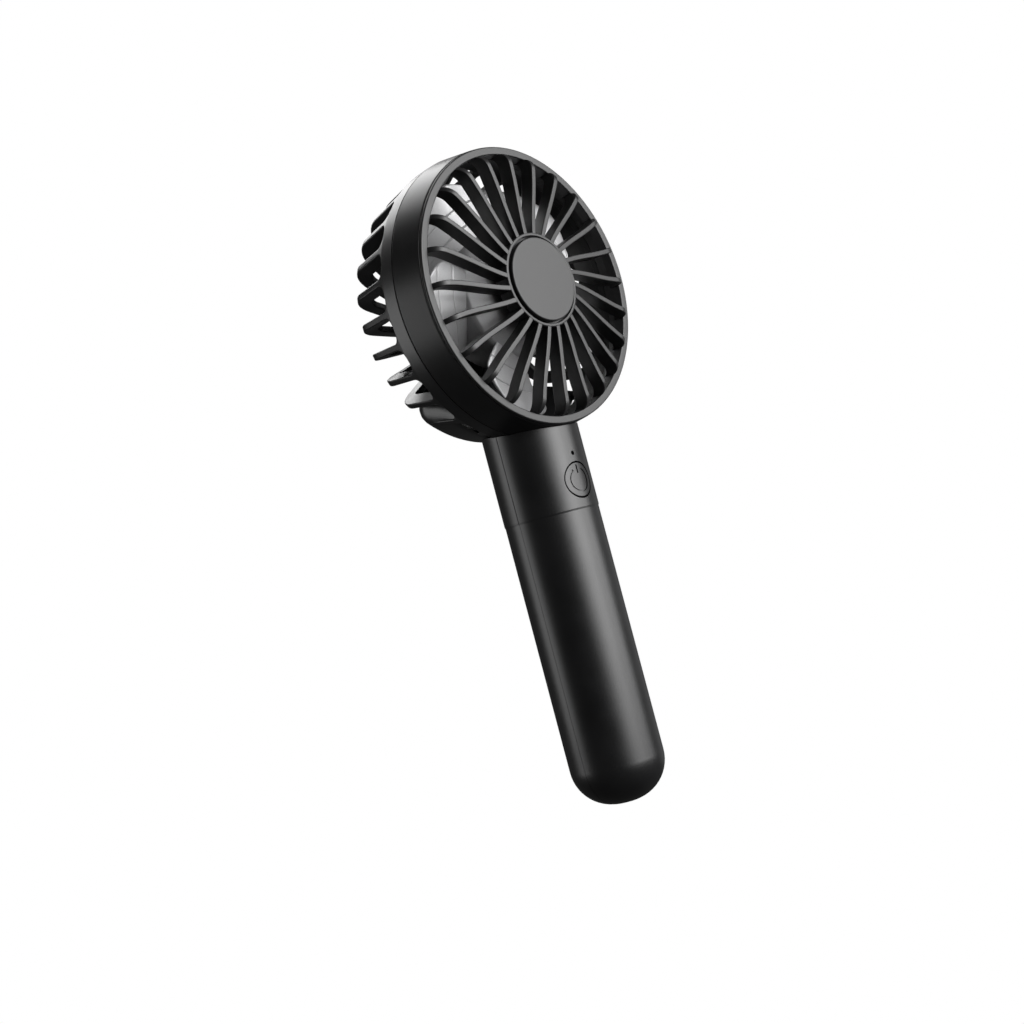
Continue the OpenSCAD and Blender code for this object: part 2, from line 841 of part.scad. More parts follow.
// a flat stadium-shaped bar, upright, from height z0 to height z1
module usb_form(half_w, half_t, z0, z1)
{
    translate([0, 0, z0]) linear_extrude(z1 - z0) union()
    {
        for (x = [-1, 1]) translate([x * (half_w - half_t), 0]) circle(r = half_t, $fn = 32);
        square([2 * (half_w - half_t), 2 * half_t], center = true);
    }
}

front_grille();
hub_badge();
front_band();
rear_grille();
rear_cap();
impeller();
rotor_bell();
magnet_ring();
motor_shaft();
retaining_ring();
motor_base();
front_bearing();
rear_bearing();
stator_core();
stator_windings();
motor_pcb();
motor_screws();
motor_leads();
neck_bracket();
neck_screws();
handle_front_shell();
handle_rear_shell();
handle_screws();
power_button();
switch_plunger();
tactile_switch();
main_pcb();
pcb_screws();
control_chips();
power_inductor();
wire_connectors();
status_led();
light_pipe();
battery_cell();
battery_tabs();
battery_cradle();
battery_leads();
charge_pcb();
charge_leads();
usb_c_receptacle();
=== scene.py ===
import math
import bmesh
import bpy
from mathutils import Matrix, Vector


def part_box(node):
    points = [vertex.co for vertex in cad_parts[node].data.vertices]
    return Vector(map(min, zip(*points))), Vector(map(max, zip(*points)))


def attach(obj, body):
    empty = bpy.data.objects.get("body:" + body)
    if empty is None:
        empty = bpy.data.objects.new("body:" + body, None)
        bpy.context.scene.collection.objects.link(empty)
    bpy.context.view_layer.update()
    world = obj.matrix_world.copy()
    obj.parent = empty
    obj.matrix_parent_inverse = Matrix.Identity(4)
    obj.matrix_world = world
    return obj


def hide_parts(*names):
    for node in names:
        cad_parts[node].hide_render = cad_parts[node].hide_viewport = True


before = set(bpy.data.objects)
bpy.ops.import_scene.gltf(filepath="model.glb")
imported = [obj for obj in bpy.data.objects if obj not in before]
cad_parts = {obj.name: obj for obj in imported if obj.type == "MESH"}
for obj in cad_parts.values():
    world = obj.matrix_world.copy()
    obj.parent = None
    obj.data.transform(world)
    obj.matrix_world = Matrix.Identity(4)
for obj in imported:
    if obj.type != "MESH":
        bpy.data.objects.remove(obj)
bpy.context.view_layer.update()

MM = 0.001

# ---- the frame's own places, in millimetres ----


def node_box(node):
    """The lowest and highest corner of a CAD node, in millimetres."""
    low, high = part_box(node)
    return Vector(low) / MM, Vector(high) / MM


badge_low, badge_high = node_box("hub_badge")
grille_low, grille_high = node_box("front_grille")
band_low, band_high = node_box("front_band")
handle_low, handle_high = node_box("handle_front_shell")
button_low, button_high = node_box("power_button")
BADGE_STANDS = 5.75
HEAD = Vector((0, badge_low.y + BADGE_STANDS, (badge_low.z + badge_high.z) / 2))
RING_R = (grille_high.x - grille_low.x) / 2
SEAM_R = (band_high.x - band_low.x) / 2
HANDLE_R = handle_high.x
GRIP_R = HANDLE_R - 0.2
HANDLE_BOTTOM = handle_low.z
BUTTON_Z = (button_low.z + button_high.z) / 2
LED_Z = (node_box("light_pipe")[0].z + node_box("light_pipe")[1].z) / 2
SCREW_Z = (node_box("handle_screws")[0].z + node_box("handle_screws")[1].z) / 2
CUP_BACK_Y = 38.3


def on_head(p):
    """A point in the head's own frame, as metres in the part's frame."""
    return (Vector(p) + HEAD) * MM


def on_part(p):
    """A point in the part's frame, from millimetres to metres."""
    return Vector(p) * MM


# ---- camera and light ----

VIEW_AZIMUTH = math.radians(-45.638)
VIEW_ELEVATION = math.radians(-1.778)
VIEW_ROLL = math.radians(-14.816)
VIEW_DISTANCE = 0.47511
HEAD_RIGHT_OF_AXIS = 0.006073
HEAD_ABOVE_AXIS = 0.07131


def add_camera():
    """The photo's own view: below the head's axis, from the front left, rolled with the tilted fan."""
    back = Vector((math.sin(VIEW_AZIMUTH) * math.cos(VIEW_ELEVATION),
                   -math.cos(VIEW_AZIMUTH) * math.cos(VIEW_ELEVATION), math.sin(VIEW_ELEVATION)))
    level = Vector((math.cos(VIEW_AZIMUTH), math.sin(VIEW_AZIMUTH), 0))
    upright = back.cross(level)
    right = math.cos(VIEW_ROLL) * level + math.sin(VIEW_ROLL) * upright
    up = math.cos(VIEW_ROLL) * upright - math.sin(VIEW_ROLL) * level
    data = bpy.data.cameras.new("camera")
    data.lens = 53.34
    data.sensor_width = 36
    data.clip_start = 0.01
    camera = bpy.data.objects.new("camera", data)
    bpy.context.scene.collection.objects.link(camera)
    place = HEAD * MM - right * HEAD_RIGHT_OF_AXIS - up * HEAD_ABOVE_AXIS + back * VIEW_DISTANCE
    matrix = camera.matrix_world.copy()
    for i in range(3):
        matrix[i][0] = right[i]
        matrix[i][1] = up[i]
        matrix[i][2] = back[i]
        matrix[i][3] = place[i]
    camera.matrix_world = matrix
    bpy.context.scene.camera = camera


def softbox(name, azimuth, elevation, distance, width, height, radiance):
    """A soft light that faces the object; azimuth 0 is in front of the fan and 90 on its +X side."""
    a = math.radians(azimuth)
    e = math.radians(elevation)
    away = Vector((math.sin(a) * math.cos(e), -math.cos(a) * math.cos(e), math.sin(e)))
    data = bpy.data.lights.new(name, "AREA")
    data.shape = "RECTANGLE"
    data.size = width
    data.size_y = height
    data.energy = radiance * math.pi * width * height
    light = bpy.data.objects.new(name, data)
    light.location = Vector((0, 0, 0.07)) + away * distance
    light.rotation_euler = away.to_track_quat("Z", "Y").to_euler()
    light.visible_camera = False
    bpy.context.scene.collection.objects.link(light)


def add_lights():
    """A wide bright window in front, and smaller fill lights at the sides and behind."""
    softbox("key_core", 13, 14, 2.4, 1.07, 1.85, 4.0)
    softbox("key", 20, 12.5, 2.42, 3.0, 2.05, 3.7)
    softbox("key_wide", 17, 12.5, 2.44, 4.3, 2.05, 1.9)
    softbox("right", 92, 0, 1.6, 1.0, 1.3, 0.25)
    softbox("above_behind", 160, 45, 0.9, 0.5, 0.48, 4.2)
    softbox("left", -135, 2, 0.9, 0.5, 0.6, 2.5)


def add_world():
    """White where the camera looks past the object, and a dim grey for what the object reflects."""
    world = bpy.data.worlds.new("studio")
    bpy.context.scene.world = world
    world.use_nodes = True
    tree = world.node_tree
    tree.nodes.clear()
    out = tree.nodes.new("ShaderNodeOutputWorld")
    mix = tree.nodes.new("ShaderNodeMixShader")
    dim = tree.nodes.new("ShaderNodeBackground")
    white = tree.nodes.new("ShaderNodeBackground")
    path = tree.nodes.new("ShaderNodeLightPath")
    dim.inputs["Color"].default_value = (1, 1, 1, 1)
    dim.inputs["Strength"].default_value = 0.05
    white.inputs["Color"].default_value = (1, 1, 1, 1)
    white.inputs["Strength"].default_value = 1.0
    tree.links.new(path.outputs["Is Camera Ray"], mix.inputs[0])
    tree.links.new(dim.outputs[0], mix.inputs[1])
    tree.links.new(white.outputs[0], mix.inputs[2])
    tree.links.new(mix.outputs[0], out.inputs["Surface"])
    bpy.context.scene.view_settings.view_transform = "Standard"


# ---- procedural materials ----

class Nodes:
    """A new material with its Principled shader and short ways to add nodes."""

    def __init__(self, name, colour, roughness, metallic=0.0, coat=0.0):
        self.material = bpy.data.materials.new(name)
        self.material.use_nodes = True
        self.tree = self.material.node_tree
        self.shader = self.tree.nodes["Principled BSDF"]
        self.shader.inputs["Base Color"].default_value = (*colour, 1)
        self.shader.inputs["Roughness"].default_value = roughness
        self.shader.inputs["Metallic"].default_value = metallic
        self.shader.inputs["Coat Weight"].default_value = coat
        self.place = self.tree.nodes.new("ShaderNodeTexCoord").outputs["Object"]

    def noise(self, scale, detail=3, roughness=0.5):
        n = self.tree.nodes.new("ShaderNodeTexNoise")
        n.inputs["Scale"].default_value = scale
        n.inputs["Detail"].default_value = detail
        n.inputs["Roughness"].default_value = roughness
        self.tree.links.new(self.place, n.inputs["Vector"])
        return n.outputs["Fac"]

    def ramp(self, value, stops):
        """A colour ramp; stops are (position, grey or colour)."""
        n = self.tree.nodes.new("ShaderNodeValToRGB")
        ramp = n.color_ramp
        while len(ramp.elements) < len(stops):
            ramp.elements.new(0.5)
        for element, (position, colour) in zip(ramp.elements, stops):
            element.position = position
            element.color = (colour, colour, colour, 1) if isinstance(colour, float) else (*colour, 1)
        self.tree.links.new(value, n.inputs["Fac"])
        return n.outputs["Color"]

    def span(self, value, low, high):
        """value, from 0 to 1, mapped to low..high."""
        n = self.tree.nodes.new("ShaderNodeMapRange")
        n.inputs["To Min"].default_value = low
        n.inputs["To Max"].default_value = high
        self.tree.links.new(value, n.inputs["Value"])
        return n.outputs["Result"]

    def to(self, value, socket):
        self.tree.links.new(value, self.shader.inputs[socket])

    def bump(self, value, depth, strength):
        """Fine relief, depth in metres."""
        n = self.tree.nodes.new("ShaderNodeBump")
        n.inputs["Strength"].default_value = strength
        n.inputs["Distance"].default_value = depth
        self.tree.links.new(value, n.inputs["Height"])
        last = self.shader.inputs["Normal"]
        if last.links:
            self.tree.links.new(last.links[0].from_socket, n.inputs["Normal"])
        self.tree.links.new(n.outputs["Normal"], last)


def moulded(name, colour, roughness, grain=1.0):
    """Moulded plastic: a fine spark-eroded grain and soft handling marks, paler and darker."""
    m = Nodes(name, colour, roughness)
    fine = m.noise(3600, 2, 0.6)
    soft = m.noise(95, 3, 0.55)
    pale = tuple(c * 1.35 for c in colour)
    dark = tuple(c * 0.85 for c in colour)
    m.to(m.ramp(soft, [(0.3, dark), (0.7, pale)]), "Base Color")
    m.to(m.span(soft, roughness - 0.035, roughness + 0.035), "Roughness")
    m.bump(fine, 0.00002 * grain, 0.5)
    return m.material


def metal(name, colour, roughness, streak=900):
    """Turned or drawn metal with fine irregular marks."""
    m = Nodes(name, colour, roughness, metallic=1.0)
    marks = m.noise(streak, 4, 0.65)
    m.to(m.ramp(marks, [(0.3, tuple(c * 0.8 for c in colour)), (0.7, colour)]), "Base Color")
    m.to(m.span(marks, roughness - 0.08, roughness + 0.1), "Roughness")
    m.bump(marks, 0.00002, 0.4)
    return m.material


def painted(name, colour, other, scale, roughness):
    """A material of two mottled colours, for boards, wires, wraps and the like."""
    m = Nodes(name, colour, roughness)
    spots = m.noise(scale, 4, 0.6)
    m.to(m.ramp(spots, [(0.42, colour), (0.6, other)]), "Base Color")
    m.to(m.span(spots, roughness - 0.06, roughness + 0.08), "Roughness")
    m.bump(spots, 0.00003, 0.5)
    return m.material


def silver_blade():
    """Silver-grey blade plastic with fine flakes in it and a glossy skin."""
    m = Nodes("blade_silver", (0.35, 0.35, 0.355), 0.42, metallic=0.45, coat=0.12)
    m.shader.inputs["Coat Roughness"].default_value = 0.25
    flakes = m.noise(5200, 2, 0.7)
    flow = m.noise(70, 3, 0.5)
    m.to(m.ramp(flakes, [(0.35, (0.32, 0.32, 0.325)), (0.65, (0.38, 0.38, 0.385))]), "Base Color")
    m.to(m.span(flow, 0.37, 0.47), "Roughness")
    m.bump(flakes, 0.00001, 0.3)
    return m.material


MATERIALS = {
    "shell": moulded("satin_black_plastic", (0.006, 0.006, 0.0063), 0.34),
    "face": moulded("satin_face_plastic", (0.009, 0.009, 0.0093), 0.4),
    "grip": moulded("soft_touch_black", (0.005, 0.005, 0.0053), 0.34, grain=0.7),
    "blade": silver_blade(),
    "steel": metal("steel", (0.55, 0.55, 0.56), 0.3),
    "magnet": painted("ferrite", (0.03, 0.03, 0.032), (0.06, 0.06, 0.062), 900, 0.6),
    "copper": metal("enamelled_copper", (0.62, 0.26, 0.11), 0.28, 1500),
    "board": painted("board_mask", (0.01, 0.07, 0.035), (0.02, 0.12, 0.055), 1400, 0.35),
    "chip": painted("chip_epoxy", (0.018, 0.018, 0.02), (0.03, 0.03, 0.032), 3000, 0.5),
    "white": painted("connector_nylon", (0.72, 0.7, 0.64), (0.8, 0.78, 0.72), 500, 0.45),
    "lens": painted("smoked_lens", (0.012, 0.012, 0.013), (0.02, 0.02, 0.022), 900, 0.2),
    "wrap": painted("cell_wrap", (0.03, 0.12, 0.34), (0.04, 0.15, 0.4), 220, 0.3),
    "cradle": painted("cradle_nylon", (0.2, 0.2, 0.21), (0.26, 0.26, 0.27), 700, 0.55),
    "red": painted("red_insulation", (0.5, 0.03, 0.02), (0.58, 0.05, 0.03), 1500, 0.45),
    "black_wire": painted("black_insulation", (0.015, 0.015, 0.016), (0.03, 0.03, 0.03), 1500, 0.45),
}

# ---- mesh helpers ----


def link(name, points, faces, place):
    """A new object whose mesh has its doubles merged and its faces turned outwards."""
    mesh = bpy.data.meshes.new(name)
    mesh.from_pydata([place(p) for p in points], [], faces)
    work = bmesh.new()
    work.from_mesh(mesh)
    bmesh.ops.remove_doubles(work, verts=work.verts, dist=1e-7)
    bmesh.ops.dissolve_degenerate(work, edges=work.edges, dist=1e-8)
    bmesh.ops.recalc_face_normals(work, faces=work.faces)
    work.to_mesh(mesh)
    work.free()
    thing = bpy.data.objects.new(name, mesh)
    bpy.context.scene.collection.objects.link(thing)
    return thing


def combine(thing, other, operation):
    """thing united with, cut by or trimmed to another closed object, which is used up."""
    step = thing.modifiers.new("combine", "BOOLEAN")
    step.object = other
    step.operation = operation
    step.solver = "MANIFOLD"
    graph = bpy.context.evaluated_depsgraph_get()
    mesh = bpy.data.meshes.new_from_object(thing.evaluated_get(graph))
    thing.modifiers.clear()
    old = thing.data
    thing.data = mesh
    mesh.name = old.name
    bpy.data.meshes.remove(old)
    bpy.data.objects.remove(other)


def shade(thing, angle=32):
    """Smooth faces with sharp edges above an angle, and flats that stay flat beside their fillets."""
    mesh = thing.data
    mesh.polygons.foreach_set("use_smooth", [True] * len(mesh.polygons))
    mesh.set_sharp_from_angle(angle=math.radians(angle))
    step = thing.modifiers.new("flats", "WEIGHTED_NORMAL")
    step.keep_sharp = True


def piece(thing, material, body, slot, *nodes):
    """Gives a finished piece its material and its body, and hides the CAD nodes it stands for; slot is not
    used.
    """
    thing.data.materials.clear()
    thing.data.materials.append(MATERIALS[material])
    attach(thing, body)
    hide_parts(*nodes)


def rounded(corners):
    """A closed profile with each corner (a, b, radius) rounded off by an arc."""
    points = []
    for i, (a, b, radius) in enumerate(corners):
        here = Vector((a, b))
        last = Vector(corners[i - 1][:2])
        after = Vector(corners[(i + 1) % len(corners)][:2])
        if radius <= 0:
            points.append((a, b))
            continue
        one = (last - here).normalized()
        two = (after - here).normalized()
        bend = math.pi - one.angle(two)
        run = radius * math.tan(bend / 2)
        centre = here + (one + two).normalized() * radius / math.cos(bend / 2)
        start = here + one * run - centre
        turn = math.copysign(bend, (here + one * run - centre).cross(here + two * run - centre))
        steps = max(2, round(math.degrees(bend) / 18))
        for k in range(steps + 1):
            t = turn * k / steps
            points.append((centre.x + start.x * math.cos(t) - start.y * math.sin(t),
                           centre.y + start.x * math.sin(t) + start.y * math.cos(t)))
    return points


def lathe(name, profile, place=on_head, segments=240, axis="y"):
    """A solid turned about the head's axis, or the handle's, from (radius, height) points."""
    points = []
    for r, h in profile:
        for k in range(segments):
            t = 2 * math.pi * k / segments
            flat = (r * math.cos(t), r * math.sin(t))
            points.append((flat[0], h, flat[1]) if axis == "y" else (flat[0], flat[1], h))
    faces = []
    count = len(profile)
    for i in range(count):
        for k in range(segments):
            a = i * segments + k
            b = i * segments + (k + 1) % segments
            c = (i + 1) % count * segments + (k + 1) % segments
            d = (i + 1) % count * segments + k
            faces.append((a, b, c, d))
    return link(name, points, faces, place)


def loft(name, loops, place=on_head):
    """A closed solid through a list of point loops that all have the same number of points."""
    points = [p for one in loops for p in one]
    n = len(loops[0])
    faces = [tuple(range(n)), tuple(range((len(loops) - 1) * n, len(loops) * n))]
    for i in range(len(loops) - 1):
        for k in range(n):
            m = (k + 1) % n
            faces.append((i * n + k, i * n + m, (i + 1) * n + m, (i + 1) * n + k))
    return link(name, points, faces, place)


def joined(things):
    """Several separate solids as one object."""
    work = bmesh.new()
    for thing in things:
        work.from_mesh(thing.data)
    mesh = things[0].data
    work.to_mesh(mesh)
    work.free()
    for thing in things[1:]:
        bpy.data.objects.remove(thing)
    return things[0]


# ---- front grille ----

SPOKES = 24
SPOKE_W = 1.7
SPOKE_DEPTH = 5
BEND_R = 38
BEND = 4.7
BEND_Y = 1.15
HUB_R = 15.3
HUB_WALL = 1.7
RING_W = 2.67


def spoke_angle(r):
    """How far round the head a spoke has swept at radius r, in degrees."""
    return 15.63 - 0.418 * (r - 26) + 0.015 * (r - 26) ** 2


def spoke_stations():
    """(radius, front depth) along a spoke, from inside the hub to inside the ring."""
    flat = [(14.3 + (BEND_R - 14.3) * i / 16, -4.85 + 1.3 * i / 16) for i in range(16)]
    bend = [math.radians(84 * i / 12) for i in range(13)]
    return flat + [(BEND_R + BEND * math.sin(t), BEND_Y - BEND * math.cos(t)) for t in bend]


def bar_loop(r, angle, lean, w, y0, y1, edge):
    """A rounded bar's section at radius r: its width lies across the bar's own path."""
    a = math.radians(angle)
    radial = Vector((math.cos(a), 0, math.sin(a)))
    around = Vector((-math.sin(a), 0, math.cos(a)))
    across = (around - radial * lean).normalized()
    outline = rounded([(-w / 2, y0, edge), (w / 2, y0, edge), (w / 2, y1, edge), (-w / 2, y1, edge)])
    return [radial * r + across * s + Vector((0, y, 0)) for s, y in outline]


def spoke(turn):
    loops = []
    for r, y in spoke_stations():
        lean = math.radians(spoke_angle(r + 0.5) - spoke_angle(r - 0.5)) * r
        loops.append(bar_loop(r, turn + spoke_angle(r), lean, SPOKE_W, y, y + SPOKE_DEPTH, 0.32))
    return loft("spoke", loops)


def front_grille():
    """The front ring, the swept spokes and the hub that the badge sits in, as one solid."""
    inner = RING_R - RING_W
    skirt = RING_R - 0.7
    ring = lathe("front_grille", rounded([
        (inner, 0, 0.45), (RING_R, 0, 0.5), (RING_R, 0.75, 0), (skirt, 0.75, 0), (skirt, 7, 0.2),
        (skirt - 1.3, 7, 0.2), (inner, 3.5, 0.3)]))
    hub = lathe("hub", rounded([
        (0, -4.16, 0), (13.2, -4.16, 0), (13.2, -3.1, 0), (14.2, -3.1, 0), (14.2, -4.9, 0.2),
        (HUB_R, -4.9, 0.45), (HUB_R, 0.3, 0.3), (HUB_R - HUB_WALL, 0.3, 0.3), (HUB_R - HUB_WALL, -2.6, 0.3),
        (0, -2.6, 0)]), segments=120)
    spokes = joined([spoke(360 / SPOKES * i) for i in range(SPOKES)])
    combine(ring, spokes, "UNION")
    combine(ring, hub, "UNION")
    shade(ring)
    piece(ring, "face", "frame", "grille_grey", "front_grille")


def hub_badge():
    badge = lathe("hub_badge", rounded([
        (0, -BADGE_STANDS, 0), (13.55, -BADGE_STANDS, 0.5), (13.55, -4.18, 0.2), (0, -4.18, 0)]),
        segments=160)
    shade(badge)
    piece(badge, "face", "frame", "grille_grey", "hub_badge")


def front_band():
    skirt = RING_R - 0.6
    band = lathe("front_band", rounded([
        (skirt, 1.15, 0.15), (45.15, 1.15, 0.5), (SEAM_R, 11.85, 0.25), (45, 11.8, 0), (45, 9.4, 0),
        (43.2, 9.4, 0.2), (43.2, 7.2, 0.2), (skirt, 7.2, 0)]))
    shade(band)
    piece(band, "shell", "frame", "shell_black", "front_band")


# ---- rear grille ----

RIBS = 28
RIB_W = 2.1
RIB_COLUMNS = 6
RIM_WALL = 2.4
WALL = 4.8
FILLET = 0.4
RIM_Y = 17.7
CORNER = 8.5
CORNER_AT = Vector((34.9, 30))
WALL_FROM = Vector((46.2, 17))
BACK_TO = Vector((14.5, 38.28))
RIB_BEND_R = 42.5


def rib_angle(r):
    """How far round the head a rear rib has swept at radius r, in degrees."""
    inside = max(0, RIB_BEND_R - r)
    return 1.5 + 0.1 * inside + 0.012 * inside ** 2


def tangent_angle(point):
    """The angle on the corner's arc where a line from point just touches it."""
    away = point - CORNER_AT
    turn = math.acos(CORNER / away.length)
    heading = math.atan2(away.y, away.x)
    return heading + turn if heading < 0 else heading - turn


WALL_ANGLE = tangent_angle(WALL_FROM)
BACK_ANGLE = tangent_angle(BACK_TO)


def meridian(part, t):
    """(point, outward normal) on the cage's outline: part 0 is its wall, 1 its corner and 2 its back."""
    angle = WALL_ANGLE + (BACK_ANGLE - WALL_ANGLE) * (t if part == 1 else part / 2)
    normal = Vector((math.cos(angle), math.sin(angle)))
    on_arc = CORNER_AT + normal * CORNER
    if part == 0:
        on_arc = WALL_FROM.lerp(on_arc, t)
    if part == 2:
        on_arc = on_arc.lerp(BACK_TO, t)
    return on_arc, normal


def wall_at(y):
    """The fraction along the cage's wall at depth y."""
    end = meridian(0, 1)[0]
    return (y - WALL_FROM.y) / (end.y - WALL_FROM.y)


def half_gap(r):
    """Half the open width between two ribs at radius r."""
    lean = math.radians(rib_angle(r + 0.5) - rib_angle(r - 0.5)) * r
    return r * math.pi / RIBS - RIB_W / 2 * math.sqrt(1 + lean * lean)


def thickness(point):
    """The ribs are thin at the rim and deepen towards the cage's corner."""
    share = min(1, max(0, (point.y - RIM_Y) / 10))
    return RIM_WALL + (WALL - RIM_WALL) * share * share * (3 - 2 * share)


def cage_rows():
    """Rows from a slot's round front end to the cup.

    A row is (point, normal, half gap, fillet's share across the rib, fillet's share along it).
    """
    rows = []
    reach = 3.2
    power = 2.4
    for i in range(9):
        t = math.radians(90 * i / 8)
        c = math.cos(t) ** (2 / power)
        s = math.sin(t) ** (2 / power)
        point, normal = meridian(0, wall_at(RIM_Y + reach * (1 - c)))
        widest = half_gap(point.x)
        n = Vector((s ** (power - 1) / widest, -c ** (power - 1) / reach)).normalized()
        rows.append((point, normal, widest * s, n.x, n.y))
    start = wall_at(RIM_Y + reach)
    for part, low, count in ((0, start, 5), (1, 0, 9), (2, 0, 18)):
        for i in range(1, count + 1):
            point, normal = meridian(part, low + (1 - low) * i / count)
            rows.append((point, normal, half_gap(point.x), 1, 0))
    return rows


def side_chain(edge, thick):
    """(inset, depth) points down a bar's side, from its outer face to its inner one, with rounded edges."""
    turns = [math.radians(30 * k) for k in range(4)]
    outer = [(edge * (1 - math.sin(q)), edge * (1 - math.cos(q))) for q in turns]
    inner = [(edge * (1 - math.cos(q)), thick - edge * (1 - math.sin(q))) for q in turns]
    return outer + inner


def section(side, columns):
    """A bar's closed outline from one side's (distance across, point) pairs and their mirror image."""
    first_s, first_at = side[0]
    last_s, last_at = side[-1]
    loop = [(-first_s + 2 * first_s * k / columns, first_at) for k in range(columns + 1)]
    loop += side[1:]
    loop += [(last_s - 2 * last_s * k / columns, last_at) for k in range(1, columns + 1)]
    loop += [(-s, at) for s, at in reversed(side[1:-1])]
    return loop


def rib_loops(turn):
    """A rib's closed section at every row, its fillets following the slots' outline."""
    loops = []
    for point, normal, gap, across, along in cage_rows():
        back = Vector((-normal.y, normal.x))
        pitch = math.pi / RIBS * point.x
        side = []
        for inset, depth in side_chain(FILLET, thickness(point)):
            at = point + back * (along * inset) - normal * depth
            side.append((pitch - gap - across * inset, at))
        centre = math.radians(turn + rib_angle(point.x))
        placed = []
        for s, at in section(side, RIB_COLUMNS):
            a = centre + s / point.x
            placed.append((at.x * math.cos(a), at.y, at.x * math.sin(a)))
        loops.append(placed)
    return loops


def cage():
    """The ribs and the rim in one closed mesh: the rim's columns run on from the ribs' own."""
    points = []
    faces = []
    side_faces = len(side_chain(FILLET, WALL)) - 1
    for i in range(RIBS):
        loops = rib_loops(360 / RIBS * i)
        n = len(loops[0])
        base = len(points)
        for one in loops:
            points += one
        for j in range(len(loops) - 1):
            for k in range(n):
                m = (k + 1) % n
                near = base + j * n
                far = near + n
                faces.append((near + k, near + m, far + m, far + k))
        last = base + (len(loops) - 1) * n
        faces.append(tuple(range(last, last + n)))
        outer = loops[0][:RIB_COLUMNS + 1]
        inner_from = RIB_COLUMNS + side_faces
        inner = loops[0][inner_from:inner_from + RIB_COLUMNS + 1]
        inner.reverse()
        rim_points, rim_faces = rim_strip(outer, inner, len(points))
        points += rim_points
        faces += rim_faces
    return link("rear_grille", points, faces, on_head)


def rim_strip(outer, inner, base):
    """The rim from the ribs' outside, round its front edge and spigot, to the ribs' inside."""
    start = (math.hypot(outer[0][0], outer[0][2]), outer[0][1])
    end = (math.hypot(inner[0][0], inner[0][2]), inner[0][1])
    corners = [(start[0], start[1], 0), (SEAM_R - 0.03, 12.02, 0.25), (44.9, 12.02, 0), (44.9, 9.5, 0.2),
               (43.7, 9.5, 0.2), (43.7, 12.02, 0.5), (end[0], end[1], 0)]
    profile = rounded(corners)
    points = []
    n = len(outer)
    for row, (r, y) in enumerate(profile):
        for k in range(n):
            a = math.atan2(outer[k][2], outer[k][0])
            if row == 0:
                points.append(outer[k])
            elif row == len(profile) - 1:
                points.append(inner[k])
            else:
                points.append((r * math.cos(a), y, r * math.sin(a)))
    faces = []
    for row in range(len(profile) - 1):
        for k in range(n - 1):
            a = base + row * n + k
            faces.append((a, a + 1, a + n + 1, a + n))
    return points, faces


BRIDGE_HALF = 28
BRIDGE_HUB_HALF = 13
BRIDGE_FROM_Y = 20.2
BRIDGE_COLUMNS = 28


def bridge_half(r):
    """Half the web's width, which narrows towards the motor cup."""
    hub_r = 14.2
    share = min(1, max(0, (r - hub_r) / (RIB_BEND_R - hub_r)))
    return BRIDGE_HUB_HALF + (BRIDGE_HALF - BRIDGE_HUB_HALF) * share


def bridge():
    """The solid web below the motor cup, standing just proud of the ribs."""
    proud = 0.1
    stations = []
    for part, low, count in ((0, wall_at(BRIDGE_FROM_Y), 8), (1, 0, 10), (2, 0, 16)):
        for i in range(0 if part == 0 else 1, count + 1):
            stations.append(meridian(part, low + (1 - low) * i / count))
    loops = []
    for i, (point, normal) in enumerate(stations):
        thick = thickness(point) + 0.3
        edge = min(2, 0.42 * thick)
        half = bridge_half(point.x)
        sink = 0.35 if i == 0 else 0
        side = [(half - inset, point + normal * (proud - min(max(depth, sink), thick - sink)))
                for inset, depth in side_chain(edge, thick)]
        loops.append([(s, at.y, -math.sqrt(max(0, at.x ** 2 - s ** 2)))
                      for s, at in section(side, BRIDGE_COLUMNS)])
    return loft("bridge", loops)


def rear_grille():
    """The ribbed cage, the motor cup and the web below the cup, as one solid."""
    grille = cage()
    cup = lathe("cup", rounded([
        (0, 22.2, 0), (15.2, 22.2, 0.6), (15.2, CUP_BACK_Y + 0.1, 0.45), (13.4, CUP_BACK_Y + 0.1, 0.3),
        (13.4, 24.2, 0.5), (0, 24.2, 0)]), segments=160)
    hole = lathe("hole", [(0, 20), (3, 20), (3, 26), (0, 26)], segments=48)
    combine(cup, hole, "DIFFERENCE")
    combine(grille, cup, "UNION")
    combine(grille, bridge(), "UNION")
    shade(grille)
    piece(grille, "shell", "frame", "shell_black", "rear_grille")


def rear_cap():
    cap = lathe("rear_cap", rounded([
        (0, 38.88, 0), (11.6, 38.75, 4), (13.33, 38.4, 0.35), (13.33, 36.72, 0.2), (0, 36.72, 0)]),
        segments=160)
    shade(cap)
    piece(cap, "shell", "frame", "shell_black", "rear_cap")


# ---- impeller ----

BLADES = 5
BLADE_ROOT_R = 20.2
BLADE_TIP_R = 39.5
BLADE_T = 1.1
BLADE_FROM = 157
BLADE_SPAN = 70
BLADE_FRONT_Y = 8
BLADE_DROP = 14
GROOVES = (25.5, 31.5)
GROOVE_HALF = 0.35
GROOVE_DEPTH = 0.22


def blade_point(s, v, lift):
    """A point on a blade: s from root to tip, v from front edge to rear edge, lift off its middle face."""
    angle = BLADE_FROM + 6 * s * s + (BLADE_SPAN - 6 * s) * (v - 0.03 * math.sin(math.pi * s))
    depth = BLADE_FRONT_Y + 0.5 * s + (BLADE_DROP + 2 * s) * (0.15 * v + 0.85 * v ** 3)
    r = BLADE_ROOT_R + (BLADE_TIP_R - BLADE_ROOT_R) * s
    groove = max(0, 1 - min(abs(r - g) for g in GROOVES) / GROOVE_HALF)
    if lift <= 0:
        lift += GROOVE_DEPTH * groove
    a = math.radians(angle)
    return r * math.cos(a), depth + BLADE_T / 2 + lift, r * math.sin(a)


